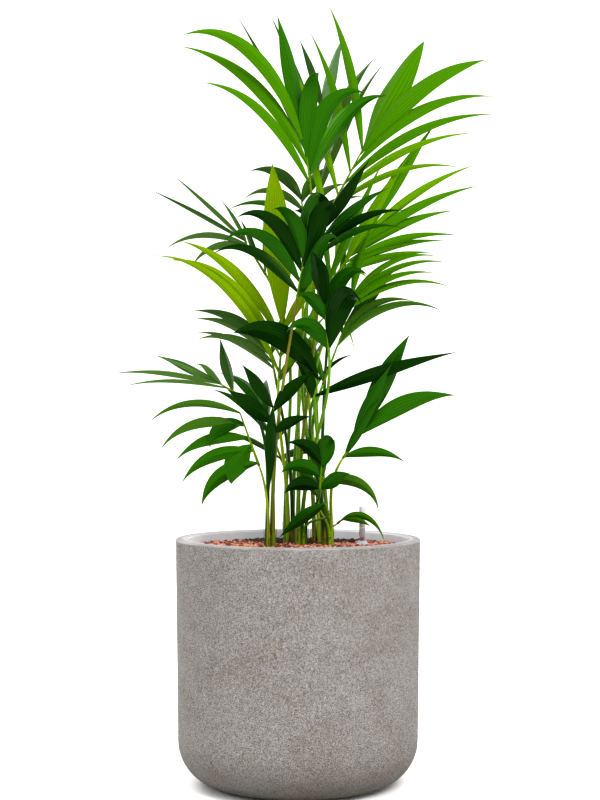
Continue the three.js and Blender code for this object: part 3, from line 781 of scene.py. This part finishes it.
# %% Stalk feet and curves
def stalk_feet(palm):
    """The ring of stalk feet on a stem's flat top: the top's middle, the ring's radius and the feet."""
    x, y = PALMS[palm]["foot"]
    lean_x, lean_y = PALMS[palm]["lean"]
    top = Vector((x + lean_x, y + lean_y, ROOTS_TOP + GAP + PALMS[palm]["height"]))
    own = [name for name, frond in FRONDS.items() if frond["palm"] == palm]
    ring = STALK["spacing"] / 2 / math.sin(math.pi / len(own))
    feet = {}
    for i, name in enumerate(own):
        angle = math.radians(PALMS[palm]["turn"]) + 2 * math.pi * i / len(own)
        feet[name] = top + Vector((ring * math.cos(angle), ring * math.sin(angle), GAP))
    return top, ring, feet


def rib_direction(frond):
    return (frond["end"] - frond["fork"]).normalized()


def stalk_point(frond, foot, bow, t):
    """Where the stalk's middle line is at t, and which way it runs there."""
    fork = frond["fork"]
    reach = (fork - foot).length
    p1 = foot + Vector((0, 0, STALK["rise"] * reach))
    p2 = fork - rib_direction(frond) * STALK["level"] * reach
    s = 1 - t
    aside = (fork - foot).cross(Vector((0, 1, 0))).normalized()
    point = foot * s**3 + p1 * 3 * s * s * t + p2 * 3 * s * t * t + fork * t**3
    heading = (p1 - foot) * 3 * s * s + (p2 - p1) * 6 * s * t + (fork - p2) * 3 * t * t
    point += aside * bow * 16 * t * t * s * s
    heading += aside * bow * 32 * t * s * (s - t)
    return point, heading.normalized()


def corners_of(node):
    """A search tree over the corners of a solid, in millimetres."""
    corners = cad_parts[node].data.vertices
    tree = kdtree.KDTree(len(corners))
    for i, corner in enumerate(corners):
        tree.insert(corner.co / MM, i)
    tree.balance()
    return tree


def found_bow(frond, foot):
    """The bow whose middle is at the centre of the solid stalk's middle ring."""
    tree = corners_of("stalk_" + frond["name"])
    radius = mix(STALK["foot"], STALK["tip"], 0.5)

    def misfit(bow):
        point, _ = stalk_point(frond, foot, bow, 0.5)
        return sum(abs(distance - radius) for _, _, distance in tree.find_n(point, 6))

    return min(BOWS, key=misfit)


feet = {}
for palm in PALMS:
    feet.update(stalk_feet(palm)[2])
feet["seedling"] = Vector((*SEEDLING_FOOT, ROOTS_TOP + GAP))
bows = {name: found_bow(frond, feet[name]) for name, frond in FRONDS.items()}
print("stalks that bow aside:", {name: bow for name, bow in bows.items() if bow})

# %% [markdown]
# ### Leaflet spines
#
# A leaflet sets out from the rib at its own angle and bends over evenly, or late near its tip. Its
# middle line is walked in 24 short steps. A leaflet that was in the way of another was lifted out of
# the frond's plane by one of a few steps: the lift taken is the one whose tip is a corner of the
# solid frond. Where none is, the solid has no leaflet there, and none is grown.

# %% Leaflet plan and spines
def rib_frame(frond):
    """The directions along the rib, to its right-hand leaflets and out of the frond's upper face."""
    along = rib_direction(frond)
    compass = math.radians(frond["spread"])
    right = Vector((math.cos(compass), math.sin(compass), 0))
    right = (right - along * right.dot(along)).normalized()
    return along, right, right.cross(along)


def between(size, down):
    """One size, or the size that lies that far down a pair of them."""
    return mix(size[1], size[0], down) if isinstance(size, tuple) else size


def side_plan(frond, hand):
    own = frond.get("both") or frond.get("left" if hand < 0 else "right")
    count, seed, plan = own["count"] if own else 0, frond["seed"], []
    for i in range(count):
        n = 10 * i + hand
        down = i / (count - 1) if count > 1 else 0
        splay, length, width, sag = (between(size, down) for size in own["sizes"])
        stagger = 0.3 / count if hand > 0 else 0
        plan.append(dict(
            n=n,
            place=max(mix(own["high"], own["low"], down) - stagger, own["low"]),
            angle=hand * (splay + VARIES["splay"] * chance(seed, n)),
            length=length * (1 + VARIES["length"] * chance(seed + 50, n)),
            width=width * (1 + VARIES["width"] * chance(seed + 90, n)),
            sag=sag * (1 + VARIES["sag"] * chance(seed + 30, n)),
            late=own["late"],
        ))
    return plan


def leaflet_plan(frond):
    lone = [frond["lone"]] if "lone" in frond else []
    return lone + side_plan(frond, -1) + side_plan(frond, 1)


def outline(t, width):
    """A leaflet's width at t of its length, as a share of its greatest width."""
    rise, fall = 1.15, min(max(2 - width / 40, 0.95), 1.6)
    widest = rise / (rise + fall)
    return (t / widest) ** rise * ((1 - t) / (1 - widest)) ** fall


def leaflet_spine(frond, leaflet, lift):
    """Points down a leaflet's middle, each with its directions along, across and out of the blade."""
    along, right, face = rib_frame(frond)
    seed, n = frond["seed"], leaflet["n"]
    turn = math.radians(leaflet["angle"])
    rise = math.radians(6 + VARIES["rise"] * chance(seed + 20, n) + lift)
    aim = along * math.cos(turn) + right * math.sin(turn)
    start = aim * math.cos(rise) + face * math.sin(rise)
    outward = Vector((start.x * 0.6, start.y * 0.6, -1))
    down = (outward - start * outward.dot(start)).normalized()
    twist = math.radians(VARIES["twist"] * chance(seed + 70, n))
    across = Quaternion(start, twist) @ start.cross(face).normalized()
    hinge = start.cross(down).normalized()
    point = frond["fork"].lerp(frond["end"], leaflet["place"])
    spine = []
    for i in range(LEAFLET["bends"] + 1):
        bent = math.radians(leaflet["sag"]) * (i / LEAFLET["bends"]) ** leaflet["late"]
        bend = Quaternion(hinge, bent)
        heading, side = bend @ start, bend @ across
        spine.append((point.copy(), heading, side, side.cross(heading)))
        point += heading * leaflet["length"] / LEAFLET["bends"]
    return spine


def spine_at(spine, t, length):
    """The spine between its steps: a curve through two neighbours that keeps their headings."""
    whole = min(int(t * LEAFLET["bends"]), LEAFLET["bends"] - 1)
    s = t * LEAFLET["bends"] - whole
    (p0, d0, side0, upper0), (p1, d1, side1, upper1) = spine[whole], spine[whole + 1]
    step = length / LEAFLET["bends"]
    point = p0 * (2 * s**3 - 3 * s * s + 1) + d0 * step * (s**3 - 2 * s * s + s)
    point += p1 * (3 * s * s - 2 * s**3) + d1 * step * (s**3 - s * s)
    return point, side0.lerp(side1, s).normalized(), upper0.lerp(upper1, s).normalized()


def found_spine(frond, leaflet, tree):
    """The spine with the lift that the solid leaflet has, or None where it has no such leaflet."""
    for lift in LIFTS:
        spine = leaflet_spine(frond, leaflet, lift)
        if tree.find(spine[-1][0])[2] < 0.2:
            return spine
    return None


grown = {}
for name, frond in FRONDS.items():
    tree = corners_of("frond_" + name)
    pairs = [(leaflet, found_spine(frond, leaflet, tree)) for leaflet in leaflet_plan(frond)]
    grown[name] = [pair for pair in pairs if pair[1]]
    missing = [leaflet["n"] for leaflet, spine in pairs if not spine]
    if missing:
        print(f"{name}: no solid for leaflets {missing}")
print(f"{sum(map(len, grown.values()))} leaflets found on {len(grown)} fronds")

# %% [markdown]
# ## Stems
#
# A young kentia has no woody trunk yet: its stem is the feet of its stalks, pressed together. Here
# the stalks themselves run on down into the bed, and the stem is what shows between them: a short
# tube with a flute behind each stalk, just under the skin of the stalks. A few old sheath ends,
# dried brown, stand round it as short blades.

# %% Roll the stems
GREEN_SHEATH, DRY_SHEATH = range(2)
STEM_SIDES, STEM_ROWS = 60, 26
OLD_ENDS, END_COLUMNS, END_ROWS, END_THICK = 4, 6, 9, 0.5


def grow_stem(palm):
    top, ring, own_feet = stalk_feet(palm)
    foot = Vector((*PALMS[palm]["foot"], ROOTS_TOP + GAP))
    wide = ring + STALK["foot"] + STEM["edge"]
    seed = 40 + list(PALMS).index(palm)
    stalks = [math.atan2(y - top.y, x - top.x) for x, y, _ in own_feet.values()]

    def fluted(angle):
        """How far out the ring of stalks reaches at an angle, between the stalks as well."""
        far = 0.62 * wide
        for stalk in stalks:
            away = ring * math.sin(angle - stalk)
            if abs(away) < STALK["foot"] and math.cos(angle - stalk) > 0:
                far = max(far, ring * math.cos(angle - stalk) + math.sqrt(STALK["foot"] ** 2 - away**2))
        return far

    def wall(angle, t):
        """The stem's surface: flutes under the skin of the stalks, a little swollen at the foot."""
        flare = 1 + 0.6 * STEM["flare"] * math.exp(-STEM["fade"] * t)
        radius = (fluted(angle) - 1.1) * flare
        radius *= 1 + 0.03 * noise.noise(Vector((math.cos(angle), math.sin(angle), 2 * t)) * 3)
        return foot.lerp(top, t) + Vector((radius * math.cos(angle), radius * math.sin(angle), 0))

    shape = new_shape()
    bent_tube(shape, STEM_SIDES, STEM_ROWS, lambda angle, row: wall(angle, row / STEM_ROWS) * MM)

    # Old sheath ends: each starts low on the stem, hugs it and narrows to a torn tip above its top.
    for k in range(OLD_ENDS):
        middle = 2 * math.pi * k / OLD_ENDS + 0.7 * chance(seed, k)
        tall = 56 + 40 * chance(seed + 1, k)
        half = 0.20 + 0.08 * chance(seed + 2, k)
        base = 0.1 + 0.1 * chance(seed + 3, k)

        def blade(column, row):
            t = row / END_ROWS
            across = (column / END_COLUMNS - 0.5) * 2
            torn = 1.4 * chance(seed + 4, 10 * k + column) * t
            narrow = (1 - t**1.6) * 0.92 + 0.05
            angle = middle + half * narrow * across
            height = mix(base, 1, min(t * 2, 1))
            lean = 1 + 0.10 * max(t - 0.55, 0) * (1.6 + chance(seed + 5, k))
            point = foot.lerp(top, height) + Vector((0, 0, max(t * 2 - 1, 0) * (tall * 0.55) + torn))
            radius = (wide + 0.3) * lean
            return (point + Vector((radius * math.cos(angle), radius * math.sin(angle), 0))) * MM

        slot = DRY_SHEATH if chance(seed + 6, k) > -0.45 else GREEN_SHEATH
        faces = bent_grid(shape, END_COLUMNS, END_ROWS, blade, lambda column, row: slot)
        bmesh.ops.solidify(shape, geom=faces, thickness=END_THICK * MM)
    return shape


def striped(name, light, dark, roughness):
    """Fibres that run up the stem: a noise stretched along Z."""
    finish, shader, start = new_finish(name, light, roughness)
    place = start.place()
    tall = place.node("ShaderNodeMapping", {"Vector": place, "Scale": (1, 1, 0.07)})
    fibres = noise_of(tall, 620, 3.0)
    spots = noise_of(place, 90, 2.0)
    feed(shader, "Base Color", blended(eased(fibres * 0.6 + spots * 0.4, 0.38, 0.62), dark, light))
    feed(shader, "Roughness", roughness + fibres * 0.2 - 0.1)
    relief(shader, fibres, 0.0006, 0.7)
    return finish


sheath_green = striped("sheath_green", "#5c6c1a", "#33400e", 0.6)
sheath_dry = striped("sheath_dry", "#9a7634", "#54421c", 0.8)
for palm in PALMS:
    keep_piece(f"sheaths_{palm}", grow_stem(palm), [sheath_green, sheath_dry], "stem", f"stem_{palm}")
print("stems rolled:", ", ".join(PALMS))

# %% [markdown]
# ## Leaf stalks
#
# A stalk is a smooth rod with a shallow channel down its inner side, and a short young one is thinner
# than the rest. It is thickest and palest at the foot, where its lowest rows go straight down past the
# stem's top into the bed. The channel is a dip in the tube's radius at one angle. The colour runs
# with the stalk, so the finish reads the stalk's own UV map: V is the way up.

# %% Grow the stalks
STALK_SIDES, STALK_ROWS, BURIED_ROWS, BURIED = 14, 46, 4, 3
CHANNEL = {"at": 2.2, "half": 0.5, "deep": 0.17}
YOUNG, FULL_GROWN = 0.35, 300


def grow_stalk(frond):
    foot, bow = feet[frond["name"]], bows[frond["name"]]
    depth = foot.z - ROOTS_TOP + BURIED
    young = min(YOUNG + (frond["fork"] - foot).length / FULL_GROWN, 1)

    def wall(angle, row):
        t = max(row - BURIED_ROWS, 0) / (STALK_ROWS - BURIED_ROWS)
        point, heading = stalk_point(frond, foot, bow, t)
        point.z -= depth * max(BURIED_ROWS - row, 0) / BURIED_ROWS
        normal = Vector((0, 1, 0)).cross(heading).normalized()
        side = heading.cross(normal)
        off = math.remainder(angle - CHANNEL["at"], 2 * math.pi) / CHANNEL["half"]
        channel = 1 - CHANNEL["deep"] * math.exp(-(off**2))
        slim = (0.86 + 0.14 * math.exp(-9 * t)) * young
        radius = mix(STALK["foot"], STALK["tip"], t) * slim * channel * (1 + 0.03 * noise.noise(point / 34))
        return (point + side * radius * math.sin(angle) + normal * radius * math.cos(angle)) * MM

    shape = new_shape()
    bent_tube(shape, STALK_SIDES, STALK_ROWS, wall)
    return shape


def stalk_finish(name, foot_tone, body_tone, streak_tone, end_tone):
    finish, shader, start = new_finish(name, body_tone, 0.38, **{"Specular IOR Level": 0.25})
    own = start.node("ShaderNodeUVMap")
    place = start.place()
    way_up = own.node("ShaderNodeSeparateXYZ", {"Vector": own}, output="Y")
    tall = own.node("ShaderNodeMapping", {"Vector": own, "Scale": (16, 3, 1)})
    streaks = eased(noise_of(tall, 1.0, 3.0), 0.35, 0.65)
    spots = eased(noise_of(place, 260, 2.0), 0.66, 0.72)
    body = blended(streaks, streak_tone, body_tone)
    colour = blended(1 - eased(way_up, 0.01, 0.16), body, foot_tone)
    colour = blended(eased(way_up, 0.65, 1.0), colour, end_tone)
    feed(shader, "Base Color", blended(spots * 0.55, colour, "#5c4a1c"))
    feed(shader, "Roughness", 0.34 + streaks * 0.12)
    relief(shader, streaks, 0.0002, 0.5)
    return finish


STALK_TONES = {
    "bright": ("#7f9620", "#90aa10", "#769408", "#80a210"),
    "fresh": ("#748c1c", "#688e0a", "#4a7206", "#5a880a"),
    "olive": ("#6c7c1c", "#64780e", "#6c6618", "#685c18"),
    "dark": ("#5c7614", "#305806", "#1d3c04", "#2f5a08"),
}
stalk_finishes = {name: stalk_finish(f"stalk_{name}", *codes) for name, codes in STALK_TONES.items()}
for name, frond in FRONDS.items():
    finish = stalk_finishes[frond["stalk"]]
    keep_piece(f"leafstalk_{name}", grow_stalk(frond), [finish], "stalk", f"stalk_{name}")
print(f"{len(FRONDS)} stalks grown")

# %% [markdown]
# ## Tones of the leaves
#
# New leaves are lime green, older ones deep green, and all are paler and greyer below. The tones also hold
# painted light: lime and bright are partly painted light shining through the leaf, and dark is painted
# shade for the inner and low fronds. Within one leaf the veins are lighter lines between darker bands. A
# painted pattern would smear over so many narrow blades, so each of these tones is a plain finish, dealt
# out face by face and leaflet by leaflet. Only the sheen varies inside a tone, along the leaf.

# %% Mix the leaf tones
BAND, VEIN, UNDER, UNDER_VEIN = range(4)
# Painted light in the tones: dark is painted shade for inner and low fronds, and lime and bright are partly
# painted light shining through the leaf.
LEAF_TONES = {
    "lime": ("#6c8700", "#7e9a0c", "#6a850c", "#7a941c"),
    "bright": ("#5c8300", "#6c9109", "#587b10", "#68891f"),
    "fresh": ("#457200", "#55860a", "#486e14", "#567a20"),
    "green": ("#285a00", "#376b0a", "#365e18", "#426a24"),
    "deep": ("#1a4c00", "#295e08", "#30581e", "#3b642a"),
    "dark": ("#052c00", "#103a06", "#1a3c10", "#26481a"),
    "slate": ("#2c4a1c", "#385628", "#496238", "#546c42"),
    "soft": ("#3a5e16", "#466a22", "#526f36", "#5e7a42"),
    "grey": ("#45602c", "#526c38", "#667f54", "#728a60"),
    "pale": ("#67855a", "#708d63", "#88a47c", "#92ad86"),
}


def leaf_finish(name, colour, roughness, gloss):
    sheen = {"Specular IOR Level": gloss, "Specular Tint": "#c4f090"}
    finish, shader, start = new_finish(name, colour, roughness, **sheen)
    own = start.node("ShaderNodeUVMap")
    tall = own.node("ShaderNodeMapping", {"Vector": own, "Scale": (9, 1.5, 1)})
    feed(shader, "Roughness", roughness - 0.1 + noise_of(tall, 2.0, 2.0) * 0.2)
    return finish


# Old leaves are hard and shine, new ones are still soft and matt.
GLOSS = {"green": 0.24, "deep": 0.26, "dark": 0.2, "slate": 0.3, "soft": 0.24, "grey": 0.2}


def leaf_finishes(name):
    above = (0.28, GLOSS[name]) if name in GLOSS else (0.55, 0.05)
    below = (0.6, 0.03)
    kinds = {"": above, "_vein": above, "_under": below, "_under_vein": below}
    codes = zip(kinds.items(), LEAF_TONES[name])
    return [leaf_finish(f"leaf_{name}{kind}", code, *look) for (kind, look), code in codes]


TONE_FINISHES = {name: leaf_finishes(name) for name in LEAF_TONES}
rib_finish = leaf_finish("rib_green", "#5f7c10", 0.45, 0.1)
dry_finish = leaf_finish("leaf_tip_dry", "#7a6428", 0.7, 0.05)
print(f"{len(LEAF_TONES)} leaf tones")

# %% [markdown]
# ## Fronds
#
# Each leaflet is a grid as long as the leaf, bent along its spine. Across it, bands and raised veins
# alternate, which gives the fine pleats of a palm leaf. A narrow paler strip hems each edge, and the
# whole blade is roofed like a flat letter V turned over, with the middle vein as its ridge. The tip
# is merged to a point, the solidify operator gives the grid the thickness of a leaf, and the faces
# that it adds below get the paler tones. Leaflets and rib of a frond are joined in one piece.

# %% Lay out the bands and veins of a leaflet
def vein_count(width):
    return 3 if width < NARROW else 5 if width < BROAD else 7


def across_stations(veins):
    """Where the grid's columns lie from edge to edge, how high each is, and what each strip shows."""
    band, vein, hem = 1.0, 0.16, 0.16
    total = (veins + 1) * band + veins * vein + 2 * hem
    at, heights, strips = [-1.0, -1 + 2 * hem / total], [0.0, 0.0], [VEIN]
    for k in range(veins):
        left = -1 + 2 * (hem + (k + 1) * band + k * vein) / total
        right = left + 2 * vein / total
        raised = 1.7 if k == veins // 2 else 1.0
        at += [(at[-1] + left) / 2, left, right]
        heights += [-0.5, raised, raised]
        strips += [BAND, BAND, VEIN]
    last = 1 - 2 * hem / total
    at += [(at[-1] + last) / 2, last, 1.0]
    heights += [-0.5, 0.0, 0.0]
    return at, heights, strips + [BAND, BAND, VEIN]


print({width: vein_count(width) for width in (12, 20, 40)}, "veins by width in mm")

# %% Grow the leaflets and ribs
BLADE_ROWS, BLADE_THICK, TIP_MERGE = 26, 0.55, 0.02
RIB_SIDES, RIB_ROWS = 10, 10


def grow_leaflet(shape, frond, leaflet, spine, slots):
    seed, n = frond["seed"], leaflet["n"]
    at, heights, strips = across_stations(vein_count(leaflet["width"]))
    pleat = 0.2 + 0.006 * leaflet["width"]
    slim, thread = (frond["slim"], 0.5) if leaflet["width"] < BROAD else (1, 0.2)
    curl = 0.28 * chance(seed + 110, n)
    wave = 0.035 * leaflet["width"] * (1 + 0.6 * chance(seed + 120, n))
    dry_from = 0.97 - 0.01 * chance(seed + 130, n) if chance(seed + 140, n) > 0.4 else 2

    # The blade ends its own thickness short of the spine, so that it doesn't outgrow its solid.
    short = 1 - BLADE_THICK / leaflet["length"]

    def place(column, row):
        t = row / BLADE_ROWS
        point, side, upper = spine_at(spine, t * short, leaflet["length"])
        width = LEAFLET["root"] * (1 - t) + slim * leaflet["width"] * outline(t, leaflet["width"])
        width *= 1 - thread * t**4
        u = at[column]
        share = min(width / leaflet["width"], 1)
        roof = width * (0.19 + 0.2 * math.exp(-6 * t)) * (0.45 - abs(u))
        bumps = pleat * share * heights[column]
        phase = 9 * t + 2 * chance(seed + 150, n) + (2 if u > 0 else 0)
        ripple = wave * share * abs(u) ** 3 * math.sin(phase)
        turn = curl * t * t
        across = side * math.cos(turn) + upper * math.sin(turn)
        out = upper * math.cos(turn) - side * math.sin(turn)
        return (point + across * u * width / 2 + out * (roof + bumps + ripple)) * MM

    def finish_of(column, row):
        return slots["dry" if row / BLADE_ROWS > dry_from else strips[column]]

    faces = bent_grid(shape, len(strips), BLADE_ROWS, place, finish_of, merge=TIP_MERGE * MM)
    made = bmesh.ops.solidify(shape, geom=faces, thickness=BLADE_THICK * MM)
    lower = {slots[BAND]: slots[UNDER], slots[VEIN]: slots[UNDER_VEIN]}
    for face in made["geom"]:
        if isinstance(face, bmesh.types.BMFace):
            face.material_index = lower.get(face.material_index, face.material_index)


def grow_rib(shape, frond, slot):
    along, right, face = rib_frame(frond)
    start = frond["fork"] + along * GAP

    def wall(angle, row):
        t = row / RIB_ROWS
        outward = right * math.cos(angle) + face * math.sin(angle)
        return (start.lerp(frond["end"], t) + outward * mix(STALK["tip"], RIB_TIP, t)) * MM

    bent_tube(shape, RIB_SIDES, RIB_ROWS, wall, lambda column, row: slot)


def tone_of(frond, leaflet):
    broad, narrow, odd = frond["tones"]
    if chance(frond["seed"] + 160, leaflet["n"]) > 0.55:
        return odd
    return narrow if leaflet["width"] < frond["narrow"] else broad


total = 0
for name, frond in FRONDS.items():
    shape = new_shape()
    tones = list(dict.fromkeys(frond["tones"]))
    finishes = [finish for own in tones for finish in TONE_FINISHES[own]]
    finishes += [rib_finish, dry_finish]
    grow_rib(shape, frond, len(finishes) - 2)
    for leaflet, spine in grown[name]:
        first = 4 * tones.index(tone_of(frond, leaflet))
        slots = {kind: first + kind for kind in (BAND, VEIN, UNDER, UNDER_VEIN)}
        slots["dry"] = len(finishes) - 1
        grow_leaflet(shape, frond, leaflet, spine, slots)
    total += len(shape.faces)
    keep_piece(f"leaflets_{name}", shape, finishes, "frond", f"frond_{name}")
print(f"{len(FRONDS)} fronds with {total} faces")

# %% [markdown]
# ## Compare the sizes
#
# The dressed plant's box is set beside the solid one's, and how much larger it is on each axis is printed.
# The dressed plant may not outgrow the solid one.

# %% Compare both boxes
dressed_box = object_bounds()
sizes = zip(dressed_box[1] - dressed_box[0], solid_box[1] - solid_box[0])
growth = [round(1000 * (dressed - solid), 1) for dressed, solid in sizes]
print("the dressed plant is larger than the solid one by", growth, "mm")
